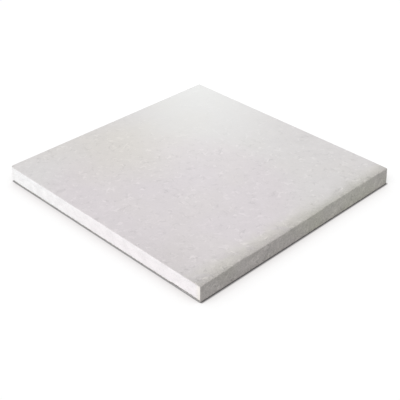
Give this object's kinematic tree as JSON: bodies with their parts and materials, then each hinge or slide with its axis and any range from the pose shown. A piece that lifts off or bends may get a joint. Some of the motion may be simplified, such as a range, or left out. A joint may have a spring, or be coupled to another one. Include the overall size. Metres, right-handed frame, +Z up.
{
  "type": "drywall sheet",
  "caption": "Square piece of gypsum wallboard lying flat, with a paper-wrapped bound edge, plain cut ends and a lapped back paper.",
  "frame": {"origin": "bottom centre of the board, on the floor that it lies on", "axes": "+Z up through the face, +X along the paper-wrapped bound edge, +Y from the bound edge to the cut side opposite it"},
  "size_m": [0.19, 0.19, 0.0127],
  "materials": {
    "gypsum": "matte",
    "face_paper": "matte",
    "back_paper": "matte"
  },
  "bodies": {
    "root": {"gypsum_core": "gypsum", "face_paper": "face_paper", "back_paper": "back_paper"}
  },
  "joints": []
}
